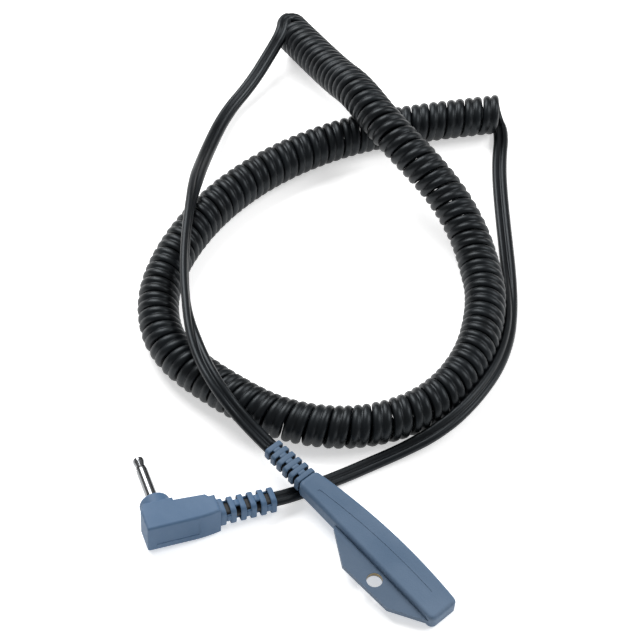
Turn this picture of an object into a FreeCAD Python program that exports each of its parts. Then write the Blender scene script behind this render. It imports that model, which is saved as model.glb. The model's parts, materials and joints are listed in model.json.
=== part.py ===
"""Ground cord of an ESD wrist strap: wrist fitting, curly twin cord and right-angle plug.

Row frame, millimetres: +X runs along the wrist fitting from its cord entry to its square
end, +Z is up, and the origin is under the middle of the fitting, on the surface it lies on.
The fitting leans on the cord that passes under its strain relief, so it has a small tilt.
"""
import FreeCAD, Part
import math
import os
import Sketcher
from FreeCAD import Placement, Rotation, Vector

doc = FreeCAD.newDocument("ground_cord")

# ---------------------------------------------------------------- driving dimensions
SIZES = {
    # wrist fitting, in its own frame: X along it, z = 0 on its underside
    "bar_left": -21.9, "bar_right": 37.1, "bar_back": 8.91, "bar_height": 5.6,
    "bar_round": 1.3, "web_bottom": 1.9, "web_thick": 1.8, "web_depth": 9.0,
    "hole_x": 15.9, "hole_y": -5.4, "hole_radius": 2.35,
    "seam_depth": 0.12, "seam_width": 0.7,
    "carrier_left": -18.0, "carrier_right": 26.0, "carrier_front": 0.2,
    "carrier_wide": 5.4, "carrier_low": 1.1, "carrier_tall": 3.4,
    "ring_wide": 0.8, "ring_thick": 0.3, "spacer_thick": 0.4,
    "tab_wide": 1.4, "fitting_tilt": 4.6, "fitting_lift": 2.875, "fitting_shift": -0.255,
    # resistors, crimps and wires in both ends
    "resistor_radius": 0.85, "resistor_long": 3.2, "cap_radius": 1.0, "cap_long": 1.1,
    "wire_radius": 0.25, "crimp_radius": 0.8, "crimp_long": 3.0, "core_radius": 0.5,
    # cord
    "strand_radius": 1.25, "cord_wide": 5.0, "tail_radius": 1.6, "coil_radius": 6.6,
    # strain reliefs
    "rib_thick": 1.5, "rib_pitch": 2.7, "bridge": 1.6, "relief_long": 15.1,
    "plug_rib_pitch": 3.1, "plug_relief_long": 17.3, "relief_play": 0.05,
    # plug, in its own frame: X along the cord, Y along the pin, z = 0 on the cord's line
    "body_long": 22.3, "body_thick": 10.0, "body_front": 4.2, "body_back": 5.0,
    "body_round": 0.8, "collar_half": 3.3, "pin_x": -16.6, "boss_radius": 4.6,
    "boss_end": 9.6, "sleeve_radius": 1.75, "sleeve_bore": 1.05, "sleeve_end": 22.4,
    "flange_radius": 3.1, "flange_thick": 1.2, "flange_at": 2.0, "shank_radius": 2.3,
    "ring_end": 23.4, "ring_radius": 1.5, "tip_end": 27.0, "tip_radius": 1.7,
    "neck_radius": 1.2,
    "rod_radius": 0.6, "tag_thick": 0.4, "tag_half": 1.2, "plug_yaw": 66.0,
    "plug_roll": -4.5, "plug_pitch": 3.6,
}

sheet = doc.addObject("Spreadsheet::Sheet", "Sizes")
for row, (name, value) in enumerate(SIZES.items(), start=1):
    sheet.set(f"A{row}", name)
    sheet.set(f"B{row}", str(value))
    sheet.setAlias(f"B{row}", name)
doc.recompute()


def size(name):
    """A driving dimension, read back from the sheet."""
    return float(sheet.get(name))


def bind(thing, **exprs):
    """Tie properties of an object to cells of the sheet."""
    for prop, expr in exprs.items():
        thing.setExpression(prop, expr)


# ---------------------------------------------------------------- where the two ends lie
def fitting_pose():
    turn = Rotation(Vector(0, 1, 0), size("fitting_tilt"))
    return Placement(Vector(size("fitting_shift"), 0, size("fitting_lift")), turn)


PLUG_EXIT = Vector(-25.1, -7.1, 4.15)       # where the cord leaves the plug's strain relief


def plug_pose():
    yaw = Rotation(Vector(0, 0, 1), size("plug_yaw"))
    pitch = Rotation(Vector(0, 1, 0), size("plug_pitch"))
    roll = Rotation(Vector(1, 0, 0), size("plug_roll"))
    turn = yaw.multiply(pitch).multiply(roll)
    base = PLUG_EXIT - turn.multVec(Vector(size("plug_relief_long"), 0, 0))
    return Placement(base, turn)


FITTING = fitting_pose()
PLUG = plug_pose()
CORD_Y = 2.8                                  # the cord's line in the fitting
CORD_Z = size("bar_height") / 2
kept = []                                     # the sub-parts that are written out


def keep(thing, label):
    thing.Label = label
    kept.append(thing)
    return thing


# ---------------------------------------------------------------- small helpers
def body(name, pose):
    made = doc.addObject("PartDesign::Body", name)
    made.Placement = pose
    return made


def plane(made, role):
    return next(f for f in made.Origin.OriginFeatures if f.Role == role)


def sketch(made, name, role="XY_Plane"):
    drawn = made.newObject("Sketcher::SketchObject", name)
    drawn.AttachmentSupport = [(plane(made, role), "")]
    drawn.MapMode = "FlatFace"
    return drawn


def line(start, end):
    return Part.LineSegment(Vector(*start), Vector(*end))


def arc(start, middle, end):
    return Part.Arc(Vector(*start), Vector(*middle), Vector(*end))


def closed(drawn, edges):
    """Add a closed outline, whose edges run head to tail."""
    drawn.addGeometry(list(edges), False)


def pad(made, drawn, name, length, both=False):
    feature = made.newObject("PartDesign::Pad", name)
    feature.Profile = drawn
    feature.Midplane = both
    bind(feature, Length=length)
    return feature


def pocket(made, drawn, name, length, both=False):
    feature = made.newObject("PartDesign::Pocket", name)
    feature.Profile = drawn
    feature.Midplane = both
    bind(feature, Length=length)
    return feature


def circle(drawn, centre, cell):
    """A circle whose radius follows a cell of the sheet."""
    index = drawn.addGeometry(
        Part.Circle(Vector(*centre, 0), Vector(0, 0, 1), size(cell)), False)
    number = drawn.addConstraint(Sketcher.Constraint("Radius", index, size(cell)))
    drawn.setExpression(f"Constraints[{number}]", f"Sizes.{cell}")


def box(name, corner, extent, pose, **exprs):
    made = doc.addObject("Part::Box", name)
    made.Length, made.Width, made.Height = extent
    bind(made, **exprs)
    made.Placement = pose.multiply(Placement(Vector(*corner), Rotation()))
    return made


ALONG_X = Rotation(Vector(0, 1, 0), 90)
ALONG_Y = Rotation(Vector(1, 0, 0), -90)


def rod(name, start, long, radius_cell, pose, turn=ALONG_X):
    """A cylinder from start, along X unless another turn is given."""
    made = doc.addObject("Part::Cylinder", name)
    made.Height = long
    bind(made, Radius=f"Sizes.{radius_cell}")
    made.Placement = pose.multiply(Placement(Vector(*start), turn))
    return made


def fuse(name, things):
    made = doc.addObject("Part::MultiFuse", name)
    made.Shapes = things
    return made


def cut(name, base, tools):
    """Take each tool from the base in turn: tools that only touch can't be fused first."""
    made = base
    for number, tool in enumerate(tools, start=1):
        step = doc.addObject("Part::Cut", f"{name}_{number}")
        step.Base = made
        step.Tool = tool
        made = step
    return made


# ---------------------------------------------------------------- wrist fitting: moulding
def fitting_solid():
    """The bowed bar, its thin web with the stud hole, and the seam along its face."""
    made = body("fitting_solid", FITTING)
    left, right, back = size("bar_left"), size("bar_right"), size("bar_back")
    plan = sketch(made, "bar_plan")
    front_left, front_right = (left, -0.9, 0), (right, -3.1, 0)
    back_right, back_left = (right, 7.1, 0), (left, 6.4, 0)
    closed(plan, [
        arc(front_left, (8, -2.0, 0), front_right),
        line(front_right, back_right),
        arc(back_right, (4.0, back, 0), back_left),
        line(back_left, front_left)])
    bar = pad(made, plan, "bar", "Sizes.bar_height")
    doc.recompute()
    upright = [f"Edge{i}" for i, e in enumerate(bar.Shape.Edges, 1)
               if e.BoundBox.ZLength > 1]
    corners_round = made.newObject("PartDesign::Fillet", "bar_corners")
    corners_round.Base = (bar, upright)
    bind(corners_round, Radius="Sizes.bar_round * 1.5")
    doc.recompute()
    level = [f"Edge{i}" for i, e in enumerate(corners_round.Shape.Edges, 1)
             if e.BoundBox.ZLength < 0.01]
    rounded = made.newObject("PartDesign::Fillet", "bar_rounding")
    rounded.Base = (corners_round, level)
    bind(rounded, Radius="Sizes.bar_round")
    web = sketch(made, "web_plan")
    web.AttachmentOffset = Placement(Vector(0, 0, size("web_bottom")), Rotation())
    depth = -size("web_depth")
    corners = [(-5.1, -0.5, 0), (-4.6, -2.2, 0), (6.3, depth, 0), (24.8, depth, 0),
               (right - 0.7, -2.6, 0), (right - 2.0, -0.5, 0)]
    closed(web, [line(a, b) for a, b in zip(corners, corners[1:] + corners[:1])])
    pad(made, web, "web", "Sizes.web_thick")
    hole = sketch(made, "hole_plan")
    circle(hole, (size("hole_x"), size("hole_y")), "hole_radius")
    pocket(made, hole, "stud_hole", "Sizes.bar_height * 2", both=True)
    seam = sketch(made, "seam_plan")
    seam.AttachmentOffset = Placement(Vector(0, 0, size("bar_height")), Rotation())
    half = size("seam_width") / 2
    closed(seam, [
        arc((-16, 2.1 - half, 0), (4, 3.7 - half, 0), (30, 3.2 - half, 0)),
        line((30, 3.2 - half, 0), (30, 3.2 + half, 0)),
        arc((30, 3.2 + half, 0), (4, 3.7 + half, 0), (-16, 2.1 + half, 0)),
        line((-16, 2.1 + half, 0), (-16, 2.1 - half, 0))])
    pocket(made, seam, "seam", "Sizes.seam_depth")
    return made


def carrier_block(name):
    corner = (size("carrier_left"), size("carrier_front"), size("carrier_low"))
    return box(name, corner, (1, 1, 1), FITTING,
               Length="Sizes.carrier_right - Sizes.carrier_left",
               Width="Sizes.carrier_wide", Height="Sizes.carrier_tall")


# ---------------------------------------------------------------- wrist fitting: contacts
LOW_Z = 2.30                                  # underside of the lower contact
SPACER_Z = LOW_Z + size("ring_thick")
HIGH_Z = SPACER_Z + size("spacer_thick")


def flat_ring(name, z, thick_cell):
    """A flat ring round the stud hole."""
    made = body(name, FITTING)
    plan = sketch(made, name + "_plan")
    plan.AttachmentOffset = Placement(Vector(0, 0, z), Rotation())
    centre = (size("hole_x"), size("hole_y"))
    plan.addGeometry(Part.Circle(Vector(*centre, 0), Vector(0, 0, 1),
                                 size("hole_radius") + size("ring_wide")), False)
    circle(plan, centre, "hole_radius")
    pad(made, plan, name + "_pad", f"Sizes.{thick_cell}")
    return made


def contact(name, z, offset, reach, leads):
    """A contact: a flat ring with a tab that runs into the bar, grooved for its wire."""
    ring = flat_ring(name + "_ring", z, "ring_thick")
    corner = (size("hole_x") + offset - size("tab_wide") / 2, size("hole_y") + 2.6, z)
    tab = box(name + "_tab", corner, (1, reach - corner[1], 1), FITTING,
              Length="Sizes.tab_wide", Height="Sizes.ring_thick")
    return cut(name, fuse(name + "_whole", [ring, tab]), [leads])


def line_of_parts(side, y, tab_x):
    """One conductor's crimp, resistor, end caps and wires, in a line along X."""
    crimp_x, caps_x = -13.0, -5.0
    core_end = crimp_x + 1.4                      # inside the crimp, conductor meets wire
    body_x = caps_x + size("cap_long")
    far_cap = body_x + size("resistor_long")
    far_end = far_cap + size("cap_long")
    z = CORD_Z
    core_start = size("carrier_left")
    core = rod(f"wrist_core_{side}_rod", (core_start, y, z),
               core_end - core_start, "core_radius", FITTING)
    lead_in = rod(f"lead_in_{side}", (core_end, y, z),
                  caps_x - core_end, "wire_radius", FITTING)
    lead_out = rod(f"lead_out_{side}", (far_end, y, z),
                   tab_x - far_end, "wire_radius", FITTING)
    leads = fuse(f"resistor_{side}_leads_fuse", [lead_in, lead_out])
    crimp = cut(f"crimp_{side}_cut",
                rod(f"crimp_{side}_rod", (crimp_x, y, z), size("crimp_long"),
                    "crimp_radius", FITTING), [core, lead_in])
    film = rod(f"resistor_{side}_rod", (body_x, y, z), size("resistor_long"),
               "resistor_radius", FITTING)
    caps = fuse(f"caps_{side}", [
        rod(f"cap_near_{side}", (caps_x, y, z), size("cap_long"), "cap_radius", FITTING),
        rod(f"cap_far_{side}", (far_cap, y, z), size("cap_long"), "cap_radius", FITTING)])
    keep(core, f"wrist_core_{side}")
    keep(leads, f"resistor_{side}_leads")
    keep(crimp, f"crimp_{side}")
    keep(film, f"resistor_{side}")
    keep(caps, f"resistor_{side}_caps")
    return [core, leads, crimp, film, caps]


# ---------------------------------------------------------------- cord ends and reliefs
def twin_profile(name, start, long, pose, line_y=0.0, line_z=0.0):
    """The flat twin jacket, as a rounded bar along X that holds both conductors."""
    made = body(name, pose)
    plan = sketch(made, name + "_plan", "YZ_Plane")
    radius, half = size("strand_radius"), size("cord_wide") / 2 - size("strand_radius")
    y, z = line_y, line_z
    closed(plan, [
        line((y - half, z - radius, 0), (y + half, z - radius, 0)),
        arc((y + half, z - radius, 0), (y + half + radius, z, 0), (y + half, z + radius, 0)),
        line((y + half, z + radius, 0), (y - half, z + radius, 0)),
        arc((y - half, z + radius, 0), (y - half - radius, z, 0), (y - half, z - radius, 0))])
    plan.AttachmentOffset = Placement(Vector(0, 0, start), Rotation())
    feature = made.newObject("PartDesign::Pad", name + "_pad")
    feature.Profile = plan
    feature.Length = long
    return made


def rounded_section(drawn, y, z, wide, tall, corner):
    a, b, r = wide / 2, tall / 2, corner
    k = r * (1 - math.sqrt(0.5))
    closed(drawn, [
        line((y - a + r, z - b, 0), (y + a - r, z - b, 0)),
        arc((y + a - r, z - b, 0), (y + a - k, z - b + k, 0), (y + a, z - b + r, 0)),
        line((y + a, z - b + r, 0), (y + a, z + b - r, 0)),
        arc((y + a, z + b - r, 0), (y + a - k, z + b - k, 0), (y + a - r, z + b, 0)),
        line((y + a - r, z + b, 0), (y - a + r, z + b, 0)),
        arc((y - a + r, z + b, 0), (y - a + k, z + b - k, 0), (y - a, z + b - r, 0)),
        line((y - a, z + b - r, 0), (y - a, z - b + r, 0)),
        arc((y - a, z - b + r, 0), (y - a + k, z - b + k, 0), (y - a + r, z - b, 0))])


GAPS = 5                                      # between the six ribs of a strain relief


def strain_relief(name, pose, base, end, corner, cells, sides_first):
    """A ribbed sleeve along +X: rings joined by bridges, with the cord's slot inside.

    base and end are (wide, tall), and cells names its length and the ribs' pitch. In every
    other gap the bridges turn by a quarter when sides_first is given, otherwise they are
    all above and below the cord.
    """
    long, pitch = map(size, cells)
    made = body(name + "_sleeve", pose)
    near = sketch(made, name + "_near", "YZ_Plane")
    rounded_section(near, 0, 0, *base, corner)
    far = sketch(made, name + "_far", "YZ_Plane")
    far.AttachmentOffset = Placement(Vector(0, 0, long), Rotation())
    rounded_section(far, 0, 0, *end, corner)
    loft = made.newObject("PartDesign::AdditiveLoft", name + "_loft")
    loft.Profile = near
    loft.Sections = [far]
    play = size("relief_play")
    slot = box(name + "_slot", (-1, -size("cord_wide") / 2 - play,
                                -size("strand_radius") - play), (long + 2, 1, 1), pose,
               Width="Sizes.cord_wide + 2 * Sizes.relief_play",
               Height="2 * (Sizes.strand_radius + Sizes.relief_play)")
    tools = [slot]
    gap = pitch - size("rib_thick")
    half = size("bridge") / 2
    wide = max(base) + 2
    for index in range(GAPS):
        start = long - size("rib_thick") - gap - index * pitch
        turned = sides_first and index % 2 == 0
        for side in (-1, 1):
            low = half if side > 0 else -half - wide
            corner_at = (start, -wide, low) if turned else (start, low, -wide)
            extent = (gap, 2 * wide, wide) if turned else (gap, wide, 2 * wide)
            tools.append(box(f"{name}_window_{index}_{side + 1}", corner_at, extent, pose))
    return cut(name + "_cut", made, tools)


# ---------------------------------------------------------------- plug
def plug_solid():
    """The plug's moulding: flat body, round boss about the pin, and the front recess."""
    made = body("plug_solid", PLUG)
    long, front, back = -size("body_long"), -size("body_front"), size("body_back")
    collar, pin_x = size("collar_half"), size("pin_x")
    plan = sketch(made, "plug_plan")
    points = [(long + 0.6, front, 0), (-9.5, front, 0), (-4.5, -4.0, 0), (0, -collar, 0),
              (0, collar, 0), (-1.8, collar, 0), (-2.6, 4.3, 0), (-12.0, back, 0),
              (-12.0, 6.0, 0), (pin_x - 4.4, 6.0, 0), (long, 3.4, 0), (long, front + 0.6, 0)]
    closed(plan, [
        line(points[0], points[1]), arc(points[1], points[2], points[3]),
        line(points[3], points[4]), line(points[4], points[5]),
        line(points[5], points[6]), line(points[6], points[7]),
        line(points[7], points[8]), line(points[8], points[9]),
        line(points[9], points[10]), line(points[10], points[11]),
        arc(points[11], (long + 0.18, front + 0.18, 0), points[0])])
    block = pad(made, plan, "plug_block", "Sizes.body_thick", both=True)
    doc.recompute()
    half = size("body_thick") / 2
    edges = [f"Edge{i}" for i, e in enumerate(block.Shape.Edges, 1)
             if e.BoundBox.ZLength < 0.01 and abs(abs(e.BoundBox.ZMin) - half) < 0.01]
    rounded = made.newObject("PartDesign::Fillet", "plug_rounding")
    rounded.Base = (block, edges)
    bind(rounded, Radius="Sizes.body_round")
    recess = sketch(made, "recess_plan", "XZ_Plane")
    recess.AttachmentOffset = Placement(Vector(0, 0, size("body_front")), Rotation())
    corners = [(-19.6, -2.6, 0), (-6.6, -2.6, 0), (-6.6, 2.6, 0), (-19.6, 2.6, 0)]
    closed(recess, [line(a, b) for a, b in zip(corners, corners[1:] + corners[:1])])
    pocket(made, recess, "front_recess", "Sizes.seam_depth * 2", both=True)
    return made


def plug_boss():
    boss = rod("boss_rod", (size("pin_x"), 0, 0), 1, "boss_radius", PLUG, ALONG_Y)
    bind(boss, Height="Sizes.boss_end")
    doc.recompute()
    rounded = doc.addObject("Part::Fillet", "boss_round")
    rounded.Base = boss
    end = PLUG.multVec(Vector(size("pin_x"), size("boss_end"), 0))
    rim = min(range(len(boss.Shape.Edges)),
              key=lambda i: (boss.Shape.Edges[i].CenterOfMass - end).Length)
    rounded.Edges = [(rim + 1, 1.0, 1.0)]
    return rounded


def turned(name, outline):
    """A piece turned about the pin's axis: outline holds (radius, y) pairs."""
    made = body(name, PLUG)
    half = sketch(made, name + "_half")
    x = size("pin_x")
    points = [(x + r, y, 0) for r, y in outline]
    closed(half, [line(a, b) for a, b in zip(points, points[1:] + points[:1])])
    axis = half.addGeometry(line((x, 0, 0), (x, 30, 0)), True)
    spun = made.newObject("PartDesign::Revolution", name + "_spun")
    spun.Profile = half
    spun.ReferenceAxis = (half, ["Axis0"])
    spun.Angle = 360
    return made


def pin_pieces():
    """Sleeve, its insulating ring and liner, and the tip with its rod."""
    bore, outer = size("sleeve_bore"), size("sleeve_radius")
    low, rim = size("flange_at"), size("flange_at") + size("flange_thick")
    end, ring_end, tip_end = size("sleeve_end"), size("ring_end"), size("tip_end")
    wide, neck, rod_r = size("tip_radius"), size("neck_radius"), size("rod_radius")
    flange, shank, boss = size("flange_radius"), size("shank_radius"), size("boss_end")
    sleeve = turned("sleeve_body", [(bore, low), (flange, low), (flange, rim), (shank, rim),
                                    (shank, boss), (outer, boss), (outer, end), (bore, end)])
    liner = turned("liner_body", [(rod_r, -0.35), (bore, -0.35), (bore, end), (rod_r, end)])
    ring = turned("ring_body", [(rod_r, end), (size("ring_radius"), end),
                                (size("ring_radius"), ring_end), (rod_r, ring_end)])
    tip = turned("tip_body", [(0, -1.2), (rod_r, -1.2), (rod_r, ring_end), (neck, ring_end),
                              (wide, tip_end - 1.3), (wide, tip_end - 0.5),
                              (wide - 0.4, tip_end), (0, tip_end)])
    keep(sleeve, "plug_sleeve")
    keep(liner, "core_insulator")
    keep(ring, "tip_insulator")
    keep(tip, "plug_tip")
    return [sleeve, liner, ring, tip]


def solder_tag(name, y, hole_cell, core):
    """A flat tag on the pin's axis, grooved for the conductor that it carries."""
    x = size("pin_x")
    corner = (x - 2.4, y, -size("tag_half"))
    plate = box(name + "_plate", corner, (9.0, 1, 1), PLUG,
                Width="Sizes.tag_thick", Height="2 * Sizes.tag_half")
    hole = rod(name + "_hole", (x, y - 1, 0), 3, hole_cell, PLUG, ALONG_Y)
    return cut(name + "_cut", plate, [hole, core])


BLOCK = ((-19.6, -2.9, -3.0), (16.6, 6.3, 6.0))       # inner block: corner and extent


def plug_inside():
    """Pin, tags, conductor ends and solder joints."""
    pins = pin_pieces()
    gap = size("strand_radius")
    sunk = size("core_radius") - 0.15
    cores = []
    for side, y in (("a", gap), ("b", -gap)):
        core = rod(f"plug_core_{side}_rod", (-11.8, y, 0), 8.8, "core_radius", PLUG)
        cores.append(keep(core, f"plug_core_{side}"))
    sleeve_tag = solder_tag("sleeve_tag", gap + sunk, "sleeve_bore", cores[0])
    tip_tag = solder_tag("tip_tag", -gap + sunk, "rod_radius", cores[1])
    keep(sleeve_tag, "sleeve_tag")
    keep(tip_tag, "tip_tag")
    blobs = []
    for name, y, tag in (("a", gap, sleeve_tag), ("b", -gap, tip_tag)):
        blob = rod(f"solder_{name}", (-12.6, y - 0.35, 0), 0.8, "crimp_radius", PLUG)
        blobs.append(cut(f"solder_{name}_cut", blob, [tag]))
    solder = keep(fuse("solder_fuse", blobs), "solder_joints")
    return pins + [sleeve_tag, tip_tag] + cores + [solder]


# ---------------------------------------------------------------- free cord
def rounded_route(points):
    """Straight runs joined by arcs, each as large as its two runs allow."""
    points = [Vector(*p) for p in points]
    edges, radii, last = [], [], points[0]
    for before, at, after in zip(points, points[1:], points[2:]):
        into, out = (at - before), (after - at)
        shorter = min(into.Length, out.Length)
        into.normalize()
        out.normalize()
        half_turn = into.getAngle(out) / 2
        reach = 0.45 * shorter
        radius = reach / math.tan(half_turn)
        radii.append(radius)
        inward = (out - into).normalize()
        middle = at + inward * (radius / math.cos(half_turn) - radius)
        start, end = at - into * reach, at + out * reach
        edges.append(Part.LineSegment(last, start).toShape())
        edges.append(Part.Arc(start, middle, end).toShape())
        last = end
    edges.append(Part.LineSegment(last, points[-1]).toShape())
    return Part.Wire(edges), radii


def tube(label, points, radius_cell):
    """A round tube along a route, with its volume checked against section x length."""
    wire, radii = rounded_route(points)
    spine = doc.addObject("Part::Feature", label + "_route")
    spine.Shape = wire
    along = Vector(*points[1]) - Vector(*points[0])
    section = doc.addObject("Part::Circle", label + "_section")
    bind(section, Radius=f"Sizes.{radius_cell}")
    section.Placement = Placement(Vector(*points[0]), Rotation(Vector(0, 0, 1), along))
    doc.recompute()
    swept = doc.addObject("Part::Sweep", label + "_sweep")
    swept.Sections = [section]
    swept.Spine = (spine, [])
    swept.Solid = True
    doc.recompute()
    expected = math.pi * size(radius_cell) ** 2 * wire.Length
    print(f"{label}: length {wire.Length:.1f}, radii {min(radii):.1f} to {max(radii):.1f},"
          f" volume {swept.Shape.Volume / expected:.4f} of section x length")
    return keep(swept, label)


FLOOR = 6.7                                    # height of the coil's centre line
COIL_ROUTE = [
    (-168.5, 130.2, 6.8), (-153, 127.5, 7), (-136, 122.5, 12), (-121, 117, 20.8),
    (-101, 111, 22.3), (-86, 111, 18), (-74, 112.3, 10.5), (-60, 108.5, FLOOR),
    (-48, 101.5, FLOOR), (-35, 92.5, FLOOR), (-21, 73, FLOOR), (-16.5, 50.5, FLOOR),
    (-24.5, 28.5, FLOOR), (-42.5, 13, FLOOR), (-65, 7.2, FLOOR), (-88, 5, FLOOR),
    (-105.5, 15, FLOOR), (-117, 32.5, FLOOR), (-124.2, 55.5, FLOOR), (-125, 80.5, FLOOR),
    (-119.5, 105.5, FLOOR), (-108, 129, FLOOR), (-90.5, 154.5, FLOOR)]


def stretch(start, end):
    """The unit vector from one point of a route to another."""
    return (Vector(*end) - Vector(*start)).normalize()


UP = Vector(0, 0, 1)
EXIT_RUN, NEAR_FOLD, FAR_FOLD, PLUG_RUN = 11.5, 4.6, 4.0, 4.0
FACE_ASIDE, FACE_DOWN = 3.5, 2.4                # where the plug tail meets its end face
NEAR_ASIDE, NEAR_UP = 2.4, 4.2                  # where the wrist tail meets its end face

# The wrist tail leaves the strain relief, goes over the coil's side, and turns into the
# coil's near end face.
FITTING_ALONG = FITTING.Rotation.multVec(Vector(1, 0, 0))
WRIST_EXIT = FITTING.multVec(Vector(size("bar_left") - size("relief_long"), CORD_Y, CORD_Z))
COIL_IN = stretch(COIL_ROUTE[0], COIL_ROUTE[1])
NEAR_SIDE = COIL_IN.cross(UP).normalize()
NEAR_END = (Vector(*COIL_ROUTE[0]) + NEAR_ASIDE * NEAR_SIDE
            + NEAR_UP * NEAR_SIDE.cross(COIL_IN))
WRIST_ROUTE = [
    tuple(WRIST_EXIT), tuple(WRIST_EXIT - EXIT_RUN * FITTING_ALONG), (-60, 2.2, 17.2),
    (-75, 7.0, 18.2), (-92, 16.5, 18.2), (-110, 31.5, 18.2), (-128, 50.5, 17.0),
    (-145, 71, 7), (-157, 89, 3.4), (-165.5, 103, 5.2), (-172.3, 117.7, 9.2),
    (-176.1, 124.7, 10.4), tuple(NEAR_END - NEAR_FOLD * COIL_IN), tuple(NEAR_END)]

# The plug tail turns out of the coil's far end face, goes round the coil and under the
# fitting's strain relief, and rises into the plug.
PLUG_ALONG = PLUG.Rotation.multVec(Vector(1, 0, 0))
COIL_OUT = stretch(COIL_ROUTE[-2], COIL_ROUTE[-1])
FAR_END = Vector(*COIL_ROUTE[-1]) + FACE_ASIDE * COIL_OUT.cross(UP) - FACE_DOWN * UP
PLUG_ROUTE = [
    tuple(FAR_END), tuple(FAR_END + FAR_FOLD * COIL_OUT), (-81.7, 156.2, 3.5),
    (-76, 150, 2.9), (-66.5, 133.5, 2.2), (-44.5, 111.5, 1.9), (-22.8, 92.5, 1.7),
    (-12.0, 72, 1.65), (-9.2, 50, 1.65), (-13.6, 31, 1.65), (-18.7, 15, 1.8),
    (-21.7, 4.0, 2.6), tuple(PLUG_EXIT + PLUG_RUN * PLUG_ALONG), tuple(PLUG_EXIT)]


# ---------------------------------------------------------------- assembly
def build_fitting():
    inside = line_of_parts("a", 1.55, 15.0) + line_of_parts("b", 4.05, 18.2)
    leads_a, leads_b = inside[1], inside[6]
    lower = keep(contact("contact_lower_cut", LOW_Z, -1.3, 2.4, leads_a), "contact_lower")
    upper = keep(contact("contact_upper_cut", HIGH_Z, 1.3, 4.8, leads_b), "contact_upper")
    spacer = keep(flat_ring("spacer_ring", SPACER_Z, "spacer_thick"), "contact_spacer")
    carrier = cut("carrier_cut", carrier_block("carrier_base"), inside + [lower, upper])
    keep(carrier, "wrist_carrier")
    start = size("bar_left") - size("relief_long")
    jacket = twin_profile("wrist_jacket", start, size("carrier_left") - start, FITTING,
                          CORD_Y, CORD_Z)
    keep(jacket, "wrist_jacket_end")
    over = cut("wrist_overmould_cut", fitting_solid(),
               [carrier_block("carrier_space"), lower, upper, spacer, jacket])
    keep(over, "wrist_overmould")
    turn = Placement(Vector(size("bar_left"), CORD_Y, CORD_Z), Rotation(Vector(0, 0, 1), 180))
    relief = strain_relief("wrist_relief", FITTING.multiply(turn), (7.2, 5.0), (6.0, 4.2),
                           1.2, ("relief_long", "rib_pitch"), False)
    keep(relief, "wrist_strain_relief")


def build_plug():
    inside = plug_inside()
    block = box("plug_carrier_block", *BLOCK, PLUG)
    keep(cut("plug_carrier_cut", block, inside), "plug_carrier")
    jacket = twin_profile("plug_jacket", -3.0, 3.0 + size("plug_relief_long"), PLUG)
    keep(jacket, "plug_jacket_end")
    whole = fuse("plug_whole", [plug_solid(), plug_boss()])
    space = box("plug_space", *BLOCK, PLUG)
    keep(cut("plug_overmould_cut", whole, [space] + inside[:4] + [jacket]), "plug_overmould")
    relief = strain_relief("plug_relief", PLUG, (6.6, 6.4), (6.3, 6.0), 1.5,
                           ("plug_relief_long", "plug_rib_pitch"), True)
    keep(relief, "plug_strain_relief")


def build_cord():
    tube("wrist_tail", WRIST_ROUTE, "tail_radius")
    tube("coil", COIL_ROUTE, "coil_radius")
    tube("plug_tail", PLUG_ROUTE, "tail_radius")


def check_all():
    doc.recompute()
    for thing in doc.Objects:
        if "Invalid" in thing.State or "Error" in thing.State:
            raise RuntimeError(f"{thing.Name} ({thing.Label}) failed: {thing.State}")
    for thing in kept:
        shape = thing.Shape
        if shape.isNull() or not shape.isValid() or not shape.Solids:
            raise RuntimeError(f"{thing.Label} has no valid solid")


def write_all():
    os.makedirs("parts", exist_ok=True)
    for thing in kept:
        solid = thing.Shape
        room = solid.BoundBox
        print(f"{thing.Label}: {len(solid.Solids)} solid(s), {solid.Volume:.1f} mm3, "
              f"x {room.XMin:.1f}..{room.XMax:.1f} y {room.YMin:.1f}..{room.YMax:.1f} "
              f"z {room.ZMin:.2f}..{room.ZMax:.2f}")
        solid.exportStep(f"parts/{thing.Label}.step")


build_fitting()
build_plug()
build_cord()
check_all()
write_all()
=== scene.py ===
# %% [markdown]
# # The ground cord of a wrist strap
#
# This lesson dresses one small object: a curly twin cord with a moulded fitting at one end and a
# right-angle plug at the other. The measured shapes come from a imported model, the frame. Blender
# adds what the frame leaves plain: the wound cord itself, the finishes, the light and the camera.

# %% Load the frame
import json
import math

import bpy
from mathutils import Matrix, Vector


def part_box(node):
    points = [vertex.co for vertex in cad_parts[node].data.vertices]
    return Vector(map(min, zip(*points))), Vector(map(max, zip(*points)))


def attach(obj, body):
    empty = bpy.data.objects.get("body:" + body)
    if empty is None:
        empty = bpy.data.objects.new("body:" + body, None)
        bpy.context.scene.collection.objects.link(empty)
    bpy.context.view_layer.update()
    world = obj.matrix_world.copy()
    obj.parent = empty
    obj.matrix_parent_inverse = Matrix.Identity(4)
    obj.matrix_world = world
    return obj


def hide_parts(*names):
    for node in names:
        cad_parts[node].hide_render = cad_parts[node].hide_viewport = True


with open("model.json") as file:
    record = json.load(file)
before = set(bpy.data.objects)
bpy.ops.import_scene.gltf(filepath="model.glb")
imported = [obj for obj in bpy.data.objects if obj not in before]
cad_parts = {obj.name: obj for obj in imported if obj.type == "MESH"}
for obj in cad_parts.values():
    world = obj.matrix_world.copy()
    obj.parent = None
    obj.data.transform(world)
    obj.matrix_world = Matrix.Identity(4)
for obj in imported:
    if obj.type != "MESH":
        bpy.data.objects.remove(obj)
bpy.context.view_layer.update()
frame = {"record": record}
mounts = {mount["name"]: mount for mount in frame["record"]["mounts"]}
bpy.ops.object.select_all(action="DESELECT")

# %% [markdown]
# ## The camera
#
# The camera comes first, because every later choice is judged through it. It looks down at half a
# right angle and a little more, from far enough away that parallel edges stay nearly parallel.
# An orthographic camera would keep them quite parallel, but a small thing on a table is never seen
# so. A long lens flattens the perspective just as a catalogue picture does.

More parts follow.
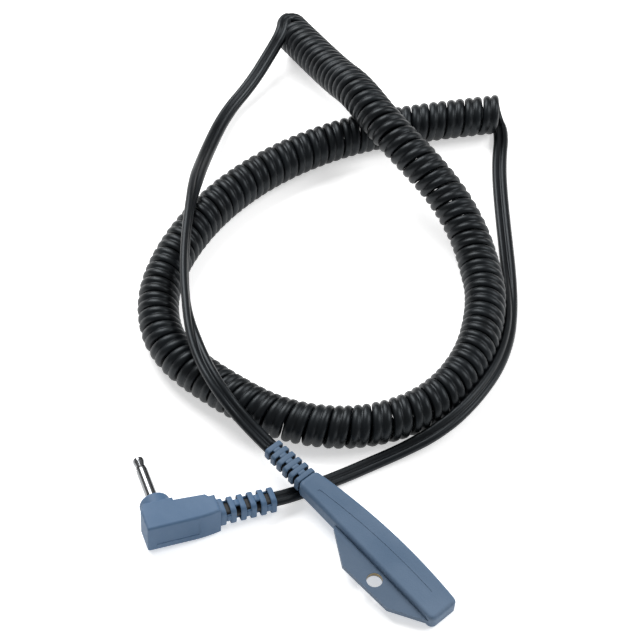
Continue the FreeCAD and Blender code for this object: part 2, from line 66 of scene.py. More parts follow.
# %% Camera
def aim(thing, target):
    """Turns a camera or a lamp towards a point."""
    way = Vector(target) - thing.location
    thing.rotation_euler = way.to_track_quat("-Z", "Y").to_euler()


LOOK_AT = (-0.069, 0.052, 0)
CAMERA_AT = (0.2659, -0.2581, 0.5439)
LENS, SENSOR = 126.3, 36                     # millimetres
bpy.ops.object.camera_add(location=CAMERA_AT)
camera = bpy.context.object
camera.name = "camera"
camera.data.lens = LENS
camera.data.sensor_width = SENSOR
aim(camera, LOOK_AT)
bpy.context.scene.camera = camera
print("camera is", round((camera.location - Vector(LOOK_AT)).length, 3), "m away")

# %% [markdown]
# ## The cord's three routes
#
# The cord is one length of twin wire: a straight tail, a long curly part and another straight
# tail. Each part has a route, a short list of given points. A cloth or rope simulation
# could let the cord fall, but it would never land in a chosen shape. Blender's NURBS spline turns
# the points into a smooth line that rounds every corner, which is how a soft cord lies. The order
# is set after the points are added, because a new spline with one point can't keep a higher one.

# %% Routes
WRIST_ROUTE = [
    (-0.03691, 0.0028, 0.00863), (-0.0484, 0.0028, 0.0097), (-0.06, 0.0022, 0.0163),
    (-0.075, 0.007, 0.0163), (-0.092, 0.0165, 0.0162), (-0.11, 0.0315, 0.0166),
    (-0.128, 0.0505, 0.016), (-0.145, 0.071, 0.006), (-0.1565, 0.089, 0.0028),
    (-0.1604, 0.1045, 0.0042), (-0.1642, 0.1172, 0.0085), (-0.166, 0.1243, 0.0122),
]
COIL_ROUTE = [
    (-0.1685, 0.1302, 0.0068), (-0.1505, 0.1252, 0.011), (-0.1335, 0.1202, 0.016),
    (-0.1205, 0.1165, 0.0213), (-0.101, 0.111, 0.0223), (-0.0854, 0.1104, 0.019),
    (-0.0718, 0.1103, 0.014), (-0.0583, 0.1069, 0.0095), (-0.048, 0.1015, 0.007),
    (-0.035, 0.0925, 0.0067), (-0.021, 0.073, 0.0067), (-0.0165, 0.0505, 0.0067),
    (-0.0245, 0.0285, 0.0067), (-0.0425, 0.013, 0.0067), (-0.065, 0.0072, 0.0067),
    (-0.088, 0.005, 0.0067), (-0.1055, 0.015, 0.0067), (-0.117, 0.0325, 0.0067),
    (-0.1242, 0.0555, 0.0067), (-0.125, 0.0805, 0.0067), (-0.1195, 0.1055, 0.0067),
    (-0.108, 0.129, 0.0067), (-0.0905, 0.1545, 0.0067),
]
PLUG_ROUTE = [
    (-0.0773, 0.1412, 0.0014), (-0.0643, 0.129, 0.0014), (-0.0439, 0.1112, 0.0015),
    (-0.0295, 0.098, 0.0025), (-0.0205, 0.087, 0.0042), (-0.0132, 0.0735, 0.0062),
    (-0.0092, 0.0575, 0.0068), (-0.0095, 0.045, 0.0055), (-0.0128, 0.0345, 0.0029),
    (-0.0162, 0.0245, 0.0017), (-0.0187, 0.015, 0.0017), (-0.0217, 0.004, 0.0025),
    (-0.0235, -0.0036, 0.0039), (-0.0251, -0.0071, 0.00415),
]


STEPS = 16                                   # drawn points for each point of a route


def smooth_line(name, route):
    """The points of a NURBS spline along a route, as Blender draws it."""
    data = bpy.data.curves.new(name, "CURVE")
    data.dimensions = "3D"
    data.resolution_u = STEPS
    spline = data.splines.new("NURBS")
    spline.points.add(len(route) - 1)
    for point, place in zip(spline.points, route):
        point.co = (*place, 1)
    spline.order_u = 3
    spline.use_endpoint_u = True
    curve = bpy.data.objects.new(name, data)
    mesh = bpy.data.meshes.new_from_object(curve)
    line = [vertex.co.copy() for vertex in mesh.vertices]
    bpy.data.objects.remove(curve)
    bpy.data.meshes.remove(mesh)
    bpy.data.curves.remove(data)
    return line


def length_of(line):
    """The length of a line of points."""
    return sum((b - a).length for a, b in zip(line, line[1:]))


coil_axis = smooth_line("coil_axis", COIL_ROUTE)
print(f"coil axis {length_of(coil_axis):.3f} m")

# %% [markdown]
# ## Walking along a line
#
# To wind a cord evenly, equal steps have to be taken along a bent axis, whose own points are
# unevenly spaced. One helper adds up the running length, and another finds the place and the
# direction at any distance by halving the list until the right piece of it is left.

# %% Walk along a line
def measured(line):
    """The running length at each point of a line."""
    run = [0.0]
    for a, b in zip(line, line[1:]):
        run.append(run[-1] + (b - a).length)
    return run


def along(line, run, distance):
    """The point and direction at a distance along a line."""
    low, high = 0, len(run) - 2
    while low < high:
        index = (low + high + 1) // 2
        if run[index] <= distance:
            low = index
        else:
            high = index - 1
    a, b = line[low], line[low + 1]
    part = (distance - run[low]) / max(run[low + 1] - run[low], 1e-9)
    before = line[max(low - 1, 0)]
    after = line[min(low + 2, len(line) - 1)]
    way = (b - before).lerp(after - a, part)
    return a.lerp(b, part), way.normalized()


coil_run = measured(coil_axis)
print(f"half way along the axis is {along(coil_axis, coil_run, coil_run[-1] / 2)[0]}")

# %% [markdown]
# ## Winding the curly part
#
# A curly cord is wound on a rod and baked until it keeps its shape. Its line is a helix round the
# coil's axis: at each step along the axis the point turns a little further round it. The Screw
# modifier also makes a helix, but only round a straight axis, so a loop works the points out. The
# winding runs left-handed here. It starts on top, where the first tail arrives, and ends half a
# turn later than a whole number of turns, at the bottom, where the second tail leaves.

# %% Wind the helix
UP = Vector((0, 0, 1))
COIL_RADIUS = 0.00535                        # from the axis to the middle of the cord
PITCH = 0.0061
FIRST_PITCH = 0.007
RINGS = 22                                   # points for each turn


def wind(axis, run):
    """Left-handed helix round an axis: its points, and the directions outwards and along it."""
    turns = math.floor((run[-1] - FIRST_PITCH) / PITCH) + 1.5
    pitch = (run[-1] - FIRST_PITCH) / (turns - 1)
    line, outward, ways = [], [], []
    for step in range(int(turns * RINGS) + 1):
        turn = step / RINGS
        gone = turn * FIRST_PITCH if turn < 1 else FIRST_PITCH + (turn - 1) * pitch
        centre, way = along(axis, run, min(gone, run[-1]))
        top = (UP - way * UP.dot(way)).normalized()
        side = top.cross(way)
        angle = turn * math.tau
        out = top * math.cos(angle) + side * math.sin(angle)
        line.append(centre + out * COIL_RADIUS)
        outward.append(out)
        round_it = side * math.cos(angle) - top * math.sin(angle)
        ways.append((round_it * COIL_RADIUS * math.tau + way * PITCH).normalized())
    return line, outward, ways


helix, helix_out, helix_ways = wind(coil_axis, coil_run)
turns = (len(helix) - 1) / RINGS
print(f"{turns} turns, {length_of(helix):.3f} m of cord in the coil")

# %% [markdown]
# ## Joining the tails to the coil
#
# A tail has to run into the first turn without a kink. The joint could be smoothed afterwards, but
# it is simpler to aim the tail. A NURBS spline leaves its end along its last leg, so one extra
# point is put a few millimetres from the helix's end, in line with it: the three lines read as one.

# %% Join the tails
LEAD_IN, LEAD_OUT = 0.00175, 0.0035
into_helix = helix[0] - helix_ways[0] * LEAD_IN
out_of_helix = helix[-1] + helix_ways[-1] * LEAD_OUT
wrist_line = smooth_line("wrist_line", [*WRIST_ROUTE, into_helix, helix[0]])
plug_line = smooth_line("plug_line", [helix[-1], out_of_helix, *PLUG_ROUTE])
cord_line = wrist_line[:-1] + helix + plug_line[1:]
print(f"whole cord {length_of(cord_line):.3f} m")

# %% [markdown]
# ## How the flat tails twist
#
# A flat twin never lies flat all the way. Where the first tail crosses the coil it stands on its
# edge, and the second tail leans against the coil's flank. A curve's own tilt could turn it, but
# the sweep below needs a direction at each point anyway. So each tail has a short table of how far
# it is turned, in degrees, at fractions of its length, and the turn is eased between its rows.

# %% Twist the tails
WRIST_TWIST = [(0, 0), (0.16, 0), (0.31, 82), (0.46, 82), (0.64, 8), (0.9, 0), (1, 0)]
PLUG_TWIST = [(0, 0), (0.3, 0), (0.46, -48), (0.64, -48), (0.8, 0), (1, 0)]


def eased(table, place):
    """A value read from a table of (place, value), with soft steps between its rows."""
    for (a, low), (b, high) in zip(table, table[1:]):
        if place <= b:
            part = (place - a) / (b - a)
            return low + (high - low) * part * part * (3 - 2 * part)
    return table[-1][1]


def facing(line, start, twist):
    """Which way the flat side faces at each point of a tail."""
    run = measured(line)
    out = []
    for index in range(len(line)):
        way = (line[min(index + 1, len(line) - 1)] - line[max(index - 1, 0)]).normalized()
        flat = (start - way * start.dot(way)).normalized()
        angle = math.radians(eased(twist, run[index] / run[-1]))
        out.append(Matrix.Rotation(angle, 3, way) @ flat)
    return out


cord_out = (facing(wrist_line, UP, WRIST_TWIST)[:-1] + helix_out
            + facing(plug_line, -UP, PLUG_TWIST)[1:])
steepest = max(abs(turn) for _, turn in WRIST_TWIST + PLUG_TWIST)
print(f"{len(cord_out)} directions, turned up to {steepest} degrees")

# %% [markdown]
# ## The twin section
#
# The jacket is two round lobes side by side, with a crease between them, so its section is drawn
# as two arcs that meet in the crease. In the coil the pair is as wide as the turns leave room for.
# On the inner side of a bend the turns crowd, and there the lobes give way a little, as soft
# vinyl does.

# %% Twin section
LOBE = 0.00125                               # radius of one lobe
LOBE_SHIFT = 0.0012                          # from the crease to the middle of a lobe
COIL_WIDTH = 0.003                           # half of the pair's width in the coil
GAP = 0.0002                                 # left between two turns
LOBE_STEPS = 11


def twin_section():
    """Points of the twin outline: x across the pair, y through its thickness."""
    open_angle = math.acos(-LOBE_SHIFT / LOBE)
    lobe = []
    for step in range(LOBE_STEPS):
        angle = open_angle - 2 * open_angle * step / LOBE_STEPS
        lobe.append((LOBE_SHIFT + LOBE * math.cos(angle), LOBE * math.sin(angle)))
    return lobe + [(-x, -y) for x, y in lobe]


def pair_width(index):
    """How wide the pair is at a ring, against its width in a tail."""
    place = index - len(wrist_line) + 1
    if place < 0 or place >= len(helix):
        return 1.0
    other = place + RINGS if place + RINGS < len(helix) else place - RINGS
    room = (helix[other] - helix[place]).length - GAP
    ends = min(place, len(helix) - 1 - place) / RINGS
    full = min(2 * COIL_WIDTH, room) / (2 * (LOBE + LOBE_SHIFT))
    return 1 + (full - 1) * min(ends, 1)


section = twin_section()
print(f"section of {len(section)} points, {2 * (LOBE + LOBE_SHIFT) * 1000:.1f} mm wide")

# %% [markdown]
# ## Sweeping the section along the cord
#
# A curve with a bevel object would carry a section along a line, but it can't keep the flat side
# facing out of the coil, nor narrow the pair turn by turn. So the tube is made ring by ring, and
# closed with a face at each end. The order of a face's corners sets the side that it faces, and
# here each one faces outwards. Each ring also gets a place on a UV map whose first axis is the
# length of cord in metres, which the finish uses later.

# %% Sweep the cord
def sweep(name, line, outward):
    """A closed tube with the twin section, and a UV map that runs along it."""
    count = len(section)
    points, faces = [], []
    for index, centre in enumerate(line):
        before = line[max(index - 1, 0)]
        after = line[min(index + 1, len(line) - 1)]
        way = (after - before).normalized()
        out = (outward[index] - way * outward[index].dot(way)).normalized()
        across = way.cross(out)
        width = pair_width(index)
        points += [centre + across * (x * width) + out * y for x, y in section]
    for ring in range(len(line) - 1):
        for corner in range(count):
            following = (corner + 1) % count
            base, above = ring * count, (ring + 1) * count
            faces.append((base + corner, base + following, above + following, above + corner))
    faces.append(tuple(reversed(range(count))))
    faces.append(tuple(range(len(points) - count, len(points))))
    mesh = bpy.data.meshes.new(name)
    mesh.from_pydata(points, [], faces)
    mesh.validate()
    made = bpy.data.objects.new(name, mesh)
    bpy.context.scene.collection.objects.link(made)
    run = measured(line)
    uv = mesh.uv_layers.new(name="cord").data
    for polygon in mesh.polygons[:-2]:
        ring, corner = divmod(polygon.index, count)
        where = ((ring, corner), (ring, corner + 1), (ring + 1, corner + 1), (ring + 1, corner))
        for loop, (at, round_it) in zip(polygon.loop_indices, where):
            uv[loop].uv = (run[at], round_it / count)
        polygon.use_smooth = True
    return made


cord = sweep("cord", cord_line, cord_out)
print(f"cord mesh has {len(cord.data.polygons)} faces")

# %% [markdown]
# ## Selecting faces and edges in code
#
# With no mouse to pick with, faces and edges are picked by a test, such as which way they run. The
# flags are set in object mode, and the select mode has to be right before edit mode opens, or
# Blender would clear them again.

# %% Select by a test
NEARLY = 0.9                                 # how much of a unit vector counts as along x


def select_where(thing, kind, test):
    """Selects the faces or edges that pass a test, and nothing else, then opens edit mode."""
    if bpy.context.mode == "EDIT_MESH":
        bpy.ops.object.mode_set(mode="OBJECT")
    mesh = thing.data
    for group in (mesh.vertices, mesh.edges, mesh.polygons):
        group.foreach_set("select", [False] * len(group))
    for element in getattr(mesh, kind):
        element.select = test(mesh, element)
    picks = bpy.context.scene.tool_settings
    picks.mesh_select_mode = (False, kind == "edges", kind == "polygons")
    bpy.ops.object.mode_set(mode="EDIT")


def runs_along_x(mesh, edge):
    a, b = (mesh.vertices[index].co for index in edge.vertices)
    return abs((b - a).normalized().x) > NEARLY


def faces_along_x(mesh, face):
    return abs(face.normal.x) > NEARLY


print("edges and faces can be picked by a test")

# %% [markdown]
# ## One rib and one bridge
#
# A strain relief is a row of ribs with gaps between them, so it bends in a soft curve and the cord
# doesn't break where it enters the moulding. It could be cut from a sleeve with boolean windows,
# but moulded rubber has soft rims, which are easier to bevel on one small ring. So one rib is
# modelled as a rounded ring round the cord, and one bridge as a small rounded block.

# %% Model a rib and a bridge
RIB_THICK = 0.0017
WALL = 0.0008
BRIDGE_WIDE = 0.0024
BRIDGE_ROUND = 0.0003
RIM = 0.00028                                # rounding of a rib's rims
SHARP = math.radians(50)                     # edges that turn more than this are rims


def new_block(name, extent):
    """A box about the origin, open in edit mode with everything selected."""
    bpy.ops.object.select_all(action="DESELECT")
    bpy.ops.mesh.primitive_cube_add(size=1, location=(0, 0, 0))
    block = bpy.context.object
    block.name = name
    bpy.ops.object.mode_set(mode="EDIT")
    bpy.ops.mesh.select_all(action="SELECT")
    bpy.ops.transform.resize(value=extent)
    return block


def model_rib(name, wide, tall, corner):
    """A rounded ring round the cord, with soft rims."""
    rib = new_block(name, (RIB_THICK, wide, tall))
    select_where(rib, "edges", runs_along_x)
    bpy.ops.mesh.bevel(offset=corner, segments=5, affect="EDGES")
    select_where(rib, "polygons", faces_along_x)
    bpy.ops.mesh.inset(thickness=WALL)
    bpy.ops.mesh.bridge_edge_loops()
    bpy.ops.mesh.select_mode(type="EDGE")
    bpy.ops.mesh.select_all(action="DESELECT")
    bpy.ops.mesh.edges_select_sharp(sharpness=SHARP)
    bpy.ops.mesh.bevel(offset=RIM, segments=4, affect="EDGES")
    bpy.ops.object.mode_set(mode="OBJECT")
    bpy.ops.object.shade_smooth()
    return rib


def model_bridge(name, long):
    """A small rounded block that joins two ribs."""
    bridge = new_block(name, (long, BRIDGE_WIDE, WALL))
    select_where(bridge, "edges", runs_along_x)
    bpy.ops.mesh.bevel(offset=BRIDGE_ROUND, segments=3, affect="EDGES")
    bpy.ops.object.mode_set(mode="OBJECT")
    bpy.ops.object.shade_smooth()
    return bridge


print(f"a rib is {RIB_THICK * 1000:.1f} mm thick, a bridge {BRIDGE_WIDE * 1000:.1f} mm wide")

# %% [markdown]
# ## Copying them down the row
#
# An Array modifier repeats a rib evenly, but here each rib is a little narrower than the one
# before, the last one reaches back to the moulding, and on the plug the bridges change sides from
# gap to gap. A loop places the copies, each with its own mesh, and joins them into one piece.

# %% Lay out a row
RIBS = 6
SINK = 0.0003                                # how far a bridge runs into each of its ribs
BELOW_RIM = 0.0001                           # how far a bridge lies below the ribs' outside


def copy_to(thing, place, scale=(1, 1, 1), roll=0.0):
    """A copy with a mesh of its own."""
    made = thing.copy()
    made.data = thing.data.copy()
    made.location = place
    made.scale = scale
    made.rotation_euler = (roll, 0, 0)
    bpy.context.scene.collection.objects.link(made)
    return made


def bridge_pair(bridge, at, wide, tall, at_sides):
    """The two bridges of a gap: at the sides of the cord, or above and below it."""
    reach = (wide if at_sides else tall) / 2 - WALL / 2 - BELOW_RIM
    pair = []
    for side in (-1, 1):
        place = (at, side * reach, 0) if at_sides else (at, 0, side * reach)
        pair.append(copy_to(bridge, place, roll=math.pi / 2 if at_sides else 0.0))
    return pair


def joined(name, row, pose):
    """A row of pieces as one object at the origin, with the pose in its mesh."""
    bpy.ops.object.select_all(action="DESELECT")
    for piece in row:
        piece.select_set(True)
    bpy.context.view_layer.objects.active = row[0]
    bpy.ops.object.transform_apply(location=True, rotation=True, scale=True)
    bpy.ops.object.join()
    made = bpy.context.object
    made.name = name
    made.matrix_world = pose
    bpy.ops.object.transform_apply(location=True, rotation=True, scale=True)
    return made


def strain_relief(name, pose, long, pitch, base, end, corner, sides_first):
    """A row of ribs and bridges along x. base and end are its width and height at both ends."""
    rib = model_rib(name + "_rib", *base, corner)
    gap = pitch - RIB_THICK
    bridge = model_bridge(name + "_bridge", gap + 2 * SINK)
    row = []
    for index in range(RIBS):
        last = index == RIBS - 1
        finish = long - index * pitch
        start = 0 if last else finish - RIB_THICK
        middle = (start + finish) / 2
        wide, tall = (a + (b - a) * middle / long for a, b in zip(base, end))
        scale = ((finish - start) / RIB_THICK, wide / base[0], tall / base[1])
        row.append(copy_to(rib, (middle, 0, 0), scale))
        if not last:
            at_sides = sides_first and index % 2 == 0
            row += bridge_pair(bridge, start - gap / 2, wide, tall, at_sides)
    for spare in (rib, bridge):
        bpy.data.objects.remove(spare)
    return joined(name, row, pose)


print(RIBS, "ribs in a row, with", RIBS - 1, "gaps")

# %% [markdown]
# ## Placing both strain reliefs
#
# The places are not typed in as angles. The stud hole and the pin are mounts of the measured part,
# with a point and a direction each, so both ends' own axes are worked out from them. The rows
# then start on the mouldings' faces and point down the cord.

# %% Place the strain reliefs
def pose_from(x, y, place):
    """A pose from its x and y directions and its place."""
    z = x.cross(y)
    return Matrix.Translation(place) @ Matrix((x, y, z)).transposed().to_4x4()


SOCKET_TO_ROOT = (-0.0378, 0.0082)           # from stud hole to relief, in the fitting's x and y
stud = mounts["stud_socket"]
fitting_z = Vector(stud["axis"])
fitting_x = Vector((0, 1, 0)).cross(fitting_z)
fitting_y = fitting_z.cross(fitting_x)
along_fitting, across_fitting = SOCKET_TO_ROOT
wrist_root = Vector(stud["pos_m"]) + fitting_x * along_fitting + fitting_y * across_fitting
wrist_relief = strain_relief(
    "wrist_relief", pose_from(-fitting_x, -fitting_y, wrist_root), long=0.0151, pitch=0.0027,
    base=(0.0072, 0.005), end=(0.006, 0.0042), corner=0.0012, sides_first=False)

PLUG_RELIEF_LONG = 0.0173
pin = mounts["plug_barrel"]
plug_y = Vector(pin["axis"])
plug_exit = Vector(PLUG_ROUTE[-1])
to_exit = plug_exit - Vector(pin["pos_m"])
plug_x = (to_exit - plug_y * to_exit.dot(plug_y)).normalized()
plug_root = plug_exit - plug_x * PLUG_RELIEF_LONG
plug_relief = strain_relief(
    "plug_relief", pose_from(plug_x, plug_y, plug_root), long=PLUG_RELIEF_LONG, pitch=0.0031,
    base=(0.0066, 0.0064), end=(0.0063, 0.006), corner=0.0015, sides_first=True)

for relief, node in ((wrist_relief, "wrist_strain_relief"), (plug_relief, "plug_strain_relief")):
    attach(relief, "root")
    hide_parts(node)
    print(relief.name, len(relief.data.polygons), "faces")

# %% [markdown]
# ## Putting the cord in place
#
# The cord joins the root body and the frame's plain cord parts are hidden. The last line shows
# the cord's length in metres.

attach(cord, "root")
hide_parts("wrist_tail", "coil", "plug_tail")
round(length_of(cord_line), 2)

# %% [markdown]
# ## Writing shaders as sums
#
# A material is a graph of nodes. Drawing one node by node is slow to read, so a small class stands
# in for the sums. A Wire is the end of a link that can be added, multiplied and so on, and each
# such step adds a Math node. Numbers that don't change over the surface are worked out in Python.

# %% A wire that does sums
class Wire:
    """A socket that takes part in Python sums by adding Math nodes."""

    def __init__(self, finish, socket):
        self.finish = finish
        self.socket = socket

    def math(self, operation, first, second):
        return self.finish.add("Math", {"operation": operation}, {0: first, 1: second})

    def __add__(self, other):
        return self.math("ADD", self, other)

    def __radd__(self, other):
        return self.math("ADD", other, self)

    def __sub__(self, other):
        return self.math("SUBTRACT", self, other)

    def __rsub__(self, other):
        return self.math("SUBTRACT", other, self)

    def __mul__(self, other):
        return self.math("MULTIPLY", self, other)

    def __rmul__(self, other):
        return self.math("MULTIPLY", other, self)


print("a wire can be added, subtracted and multiplied")

# %% [markdown]
# ## Building a finish
#
# A Finish holds one material. Its add method makes any node, and the few others are short names
# for what nearly every finish needs: clouds of noise, a mix of two colours, a ramp and a bump.

# %% A finish and its nodes
class Finish:
    """One material and the nodes in it."""

    def __init__(self, name):
        self.material = bpy.data.materials.new(name)
        self.material.use_nodes = True
        self.tree = self.material.node_tree
        self.tree.nodes.clear()

    def add(self, kind, settings=None, inputs=None, output=0):
        """Adds a node: its settings first, then the values or links of its sockets."""
        made = self.tree.nodes.new("ShaderNode" + kind)
        for name, value in (settings or {}).items():
            if name == "stops":
                self.set_stops(made.color_ramp, value)
            else:
                setattr(made, name, value)
        for name, value in (inputs or {}).items():
            if isinstance(value, Wire):
                self.tree.links.new(value.socket, made.inputs[name])
            else:
                made.inputs[name].default_value = value
        return None if output is None else Wire(self, made.outputs[output])

    def set_stops(self, ramp, stops):
        """Gives a colour ramp its stops, as (position, colour)."""
        while len(ramp.elements) < len(stops):
            ramp.elements.new(1.0)
        for element, (position, tint) in zip(ramp.elements, stops):
            element.position = position
            element.color = (*tint, 1)

    def place(self, stretch=(1, 1, 1)):
        """Object coordinates, scaled along each axis."""
        where = self.add("TexCoord", output="Object")
        return self.add("Mapping", inputs={"Vector": where, "Scale": stretch})

    def noise(self, scale, detail=3.0, roughness=0.5, stretch=(1, 1, 1)):
        """Soft clouds, from 0 to 1."""
        return self.add("TexNoise", inputs={
            "Vector": self.place(stretch), "Scale": scale, "Detail": detail,
            "Roughness": roughness,
        })

    def blend(self, amount, first, second):
        """Mixes two colours: 6, 7 and the output 2 are a Mix node's colour sockets."""
        colours = {"Factor": amount, 6: first, 7: second}
        return self.add("Mix", {"data_type": "RGBA"}, colours, output=2)

    def ramp(self, value, *stops):
        """A grey value read through a colour ramp."""
        return self.add("ValToRGB", {"stops": stops}, {"Fac": value})

    def bump(self, height, strength, distance):
        """A normal bent by a height."""
        return self.add("Bump", inputs={
            "Height": height, "Strength": strength, "Distance": distance,
        })

    def done(self, **inputs):
        """Ends the material in a Principled shader."""
        named = {name.replace("_", " "): value for name, value in inputs.items()}
        shader = self.add("BsdfPrincipled", inputs=named)
        self.add("OutputMaterial", inputs={"Surface": shader}, output=None)
        return self.material


print("finishes can be built")

# %% [markdown]
# ## Colours and who wears them
#
# Colours are written as six hexadecimal digits, as in any paint program, and turned into the linear
# light that shaders count in. Tints that stay the same all over are mixed here, in Python.

# %% Colours
def colour(hexa):
    """A colour in linear light from six hexadecimal digits."""
    parts = [int(hexa[at:at + 2], 16) / 255 for at in (0, 2, 4)]
    linear = [p / 12.92 if p <= 0.04045 else ((p + 0.055) / 1.055) ** 2.4 for p in parts]
    return (*linear, 1)


def towards(base, other, part):
    """A colour part of the way from one to another."""
    return tuple(a + (b - a) * part for a, b in zip(base, other))


WHITE, BLACK = (1, 1, 1, 1), (0, 0, 0, 1)


def wear(material, *names):
    """Gives a material to pieces, by name."""
    for name in names:
        made = bpy.data.objects[name]
        made.data.materials.clear()
        made.data.materials.append(material)


print("white in linear light is", colour("ffffff"))

# %% [markdown]
# ## The jacket's black vinyl
#
# Cord jackets are soft vinyl with a satin gloss: the strands catch long grey streaks of the
# lamps. The black is never quite even. A little dust dulls it in patches, and the die that the
# vinyl was drawn through leaves hair-fine lines along it. Object coordinates would run the lines
# across the turns, so they follow the cord's own UV map instead.

# %% Black vinyl
def black_vinyl():
    finish = Finish("black_vinyl")
    uv = finish.add("UVMap", {"uv_map": "cord"})
    drawn = finish.add("Mapping", inputs={"Vector": uv, "Scale": (60, 40, 1)})
    lines = finish.add("TexNoise", inputs={"Vector": drawn, "Scale": 1.0, "Detail": 2.0})
    dust = finish.noise(90, detail=4, roughness=0.6)
    grain = finish.noise(2600, detail=2)
    tone = finish.ramp(dust, (0.35, (0.0016, 0.002, 0.0026)), (0.75, (0.0045, 0.0062, 0.008)))
    height = lines * 0.6 + grain * 0.4
    return finish.done(
        Base_Color=tone, Roughness=0.31 + dust * 0.12 + lines * 0.06, Specular_IOR_Level=0.3,
        Specular_Tint=(0.86, 0.94, 1, 1), Normal=finish.bump(height, 0.25, 0.00006),
    )


vinyl = black_vinyl()
wear(vinyl, "cord")
print(vinyl.name, "has", len(vinyl.node_tree.nodes), "nodes")

# %% [markdown]
# ## The blue-grey moulding
#
# Both ends are moulded round the cord in one colour of matte, slightly rubbery plastic. Such a
# surface has a spark-eroded grain, very fine pits from the mould, and a faint flow mottle where
# the plastic cooled. Pits in the mesh would take millions of faces, so roughness and bump carry
# the grain, and a slow noise shifts the colour. The thin web beside the bar gets painted shade,
# where the bar shadows it.

# %% Mouldings
# Painted shade on the fitting's web, where the bar shadows it: none at the first y, full at the
# second and beyond.
WEB_PAINTED_SHADE_SPAN = (-0.0022, -0.0036)                     # y where the bar ends and where the thin web begins
WEB_PAINTED_SHADE = 0.22


def moulded(name, base, painted_shade_span=None):
    """Matte coloured plastic with a mould's fine grain, and painted shade over a span of y if
    given.
    """
    finish = Finish(name)
    flow = finish.noise(45, detail=3, stretch=(1, 1.6, 1))
    grain = finish.noise(1500, detail=3, roughness=0.6)
    light, dark = towards(base, WHITE, 0.035), towards(base, BLACK, 0.1)
    tone = finish.ramp(flow, (0.3, dark[:3]), (0.7, light[:3]))
    if painted_shade_span:
        # Painted shade: the colour is mixed towards black across the span of y, as the bar shadows
        # the web.
        y = finish.add("SeparateXYZ", inputs={0: finish.place()}, output=1)
        painted_shade = finish.add("MapRange", inputs={
            "Value": y, "From Min": painted_shade_span[0], "From Max": painted_shade_span[1], "To Max": WEB_PAINTED_SHADE,
        })
        tone = finish.blend(painted_shade, tone, BLACK)
    return finish.done(
        Base_Color=tone, Roughness=0.52 + grain * 0.12, Specular_IOR_Level=0.42,
        Normal=finish.bump(grain, 0.35, 0.00012),
    )


# The fitting's web gets painted shade, for the bar's shadow on it.
wrist_blue = moulded("wrist_blue", colour("46607b"), painted_shade_span=WEB_PAINTED_SHADE_SPAN)
plug_blue = moulded("plug_blue", colour("436282"))
wear(wrist_blue, "wrist_overmould", "wrist_relief")
wear(plug_blue, "plug_overmould", "plug_relief")
print(wrist_blue.name, "and", plug_blue.name, "are worn by two pieces each")

# %% [markdown]
# ## Metals and the parts inside
#
# The pin is nickel plated and a little worn. Inside the mouldings are copper, tin and brass parts.
# They show only in the stud hole and in a cut view, but each has its real finish. Each could be a
# material drawn by hand, but they differ only in colour and in how rough they are. So one function
# makes every metal, and a table gives each one its colour, its roughness and its wearers.

# %% Metals
TARNISH = (0.02, 0.018, 0.015, 1)


def metal(name, base, gloss):
    """Plated or bare metal with patches of tarnish and a fine grain."""
    finish = Finish(name)
    cloud = finish.noise(220, detail=4, roughness=0.6)
    fine = finish.noise(1800, detail=2)
    worn = towards(base, TARNISH, 0.21)
    tone = finish.ramp(cloud, (0.45, base[:3]), (0.8, worn[:3]))
    return finish.done(
        Base_Color=tone, Metallic=1.0, Roughness=gloss + cloud * 0.12,
        Normal=finish.bump(fine, 0.15, 0.00004),
    )


METALS = {
    "nickel": (colour("86888a"), 0.13, ["plug_sleeve", "plug_tip"]),
    "copper": (colour("c07a4f"), 0.35, [
        "wrist_core_a", "wrist_core_b", "plug_core_a", "plug_core_b",
    ]),
    "crimp_tin": (colour("b9b7b0"), 0.4, ["crimp_a", "crimp_b"]),
    "contact_brass": (colour("c9b07a"), 0.3, ["contact_lower", "contact_upper"]),
    "tag_brass": (colour("c2a56a"), 0.35, ["sleeve_tag", "tip_tag"]),
    "wire_tin": (colour("c4c4c0"), 0.3, ["resistor_a_leads", "resistor_b_leads"]),
    "solder": (colour("a9aaa8"), 0.28, ["solder_joints"]),
    "end_cap": (colour("bdb9ae"), 0.32, ["resistor_a_caps", "resistor_b_caps"]),
}
for name, (base, gloss, wearers) in METALS.items():
    wear(metal(name, base, gloss), *wearers)
print(len(METALS), "metals:", ", ".join(METALS))

# %% [markdown]
# ## Hard plastics
#
# The black ring on the pin, its liner, the inner blocks and the ends of the jacket are hard or
# plain plastic. A quiet mottle in colour, roughness and bump is all that they need.

# %% Plastics
def plain_plastic(name, base, gloss):
    """Hard plastic of the hidden parts, with a light mottle."""
    finish = Finish(name)
    cloud = finish.noise(260, detail=4)
    tone = finish.ramp(cloud, (0.2, base[:3]), (0.8, towards(base, BLACK, 0.3)[:3]))
    return finish.done(
        Base_Color=tone, Roughness=gloss + cloud * 0.1, Normal=finish.bump(cloud, 0.2, 0.0001),
    )


PLASTICS = {
    "ring_black": (colour("15161a"), 0.3, ["tip_insulator", "contact_spacer"]),
    "liner_white": (colour("d8d4c8"), 0.45, ["core_insulator"]),
    "carrier_grey": (colour("54647c"), 0.5, ["wrist_carrier", "plug_carrier"]),
    "jacket_black": (colour("07090b"), 0.5, ["wrist_jacket_end", "plug_jacket_end"]),
}
for name, (base, gloss, wearers) in PLASTICS.items():
    wear(plain_plastic(name, base, gloss), *wearers)
print(len(PLASTICS), "plastics:", ", ".join(PLASTICS))

# %% [markdown]
# ## Colour bands
#
# Each conductor has a safety resistor of one megohm. Its value is written in four bands: brown,
# black, green and gold. Thin rings of mesh could be the bands, but paint has no thickness to see.
# They follow each other along x, so one colour ramp over that coordinate draws them.

# %% Resistor bands
BANDS = [(0.1, "6b3f1f"), (0.3, "141312"), (0.5, "2f7a3f"), (0.8, "b8953f")]
BAND_WIDE = 0.09                             # as a part of the resistor's length
EDGE = 0.005                                 # over which a band's colour begins


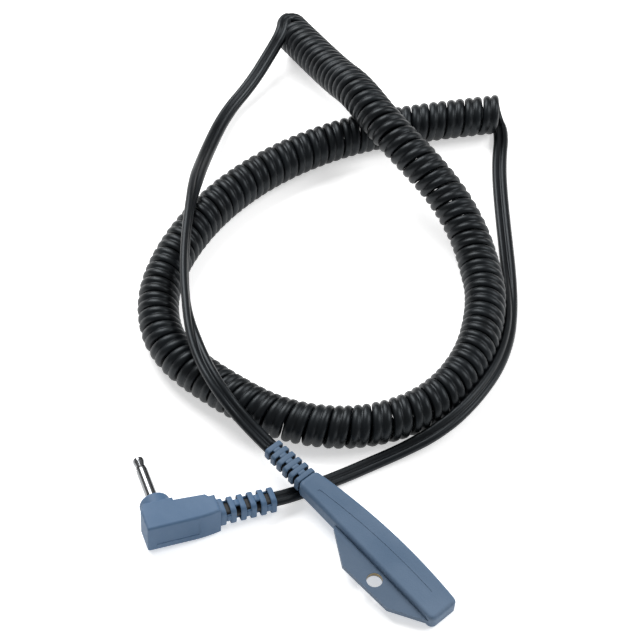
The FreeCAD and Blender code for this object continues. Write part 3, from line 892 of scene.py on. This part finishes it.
def banded_film(start, long):
    """Sky-blue lacquer with colour bands across the resistor, all along x."""
    finish = Finish("resistor_film")
    cloud = finish.noise(400, detail=3)
    lacquer = colour("6fa2b4")[:3]
    stops = [(0.0, lacquer)]
    for at, band in BANDS:
        paint = colour(band)[:3]
        stops += [(at, lacquer), (at + EDGE, paint), (at + BAND_WIDE, paint),
                  (at + BAND_WIDE + EDGE, lacquer)]
    x = finish.add("SeparateXYZ", inputs={0: finish.place()}, output=0)
    base = finish.ramp((x - start) * (1 / long), *stops)
    return finish.done(Base_Color=base, Roughness=0.25 + cloud * 0.1, Coat_Weight=0.4)


low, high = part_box("resistor_a")
wear(banded_film(low[0], high[0] - low[0]), "resistor_a", "resistor_b")
print(len(BANDS), "bands on each resistor")

# %% [markdown]
# ## Floor, lamps and sky
#
# The object lies on a plain pale sheet under soft lamps. A sun lamp would cut hard shadows and
# leave the black cord without shape. Big area lamps give the long grey streaks in the vinyl, and
# an even pale sky fills the shadows. The sheet glows a little, as paper that is lit from below.

# %% Floor
def floor_paper():
    finish = Finish("floor_paper")
    fibre = finish.noise(900, detail=3)
    tone = finish.blend(fibre, (0.93, 0.93, 0.93, 1), (0.97, 0.97, 0.97, 1))
    return finish.done(
        Base_Color=tone, Roughness=0.9, Specular_IOR_Level=0.1,
        Emission_Color=tone, Emission_Strength=0.54,
    )


FLOOR_SIZE = 6
bpy.ops.mesh.primitive_plane_add(size=FLOOR_SIZE, location=(0, 0, 0))
floor = bpy.context.object
floor.name = "floor"
wear(floor_paper(), "floor")
print("the floor is", FLOOR_SIZE, "m across")

# %% [markdown]
# ## Lamps and sky
#
# The key lamp stands to the left and the fill lamp behind, on the right. Both look at the same
# point as the camera. Their size matters more than their power: the larger, the softer.

# %% Lamps and sky
def softbox(name, place, target, size, power):
    """A rectangular area lamp."""
    bpy.ops.object.light_add(type="AREA", location=place)
    lamp = bpy.context.object
    lamp.name = name
    lamp.data.shape = "RECTANGLE"
    lamp.data.size, lamp.data.size_y = size
    lamp.data.energy = power
    aim(lamp, target)


SKY_STRENGTH = 0.27
softbox("key_lamp", (-0.85, 0.2, 0.9), LOOK_AT, size=(0.7, 0.9), power=15)
softbox("fill_lamp", (0.5, 0.85, 0.95), LOOK_AT, size=(0.7, 0.8), power=10)
world = bpy.data.worlds.new("pale_sky")
bpy.context.scene.world = world
world.use_nodes = True
sky = world.node_tree.nodes["Background"]
sky.inputs["Color"].default_value = WHITE
sky.inputs["Strength"].default_value = SKY_STRENGTH
bpy.context.scene.view_settings.view_transform = "Standard"
print("two lamps and a pale sky")
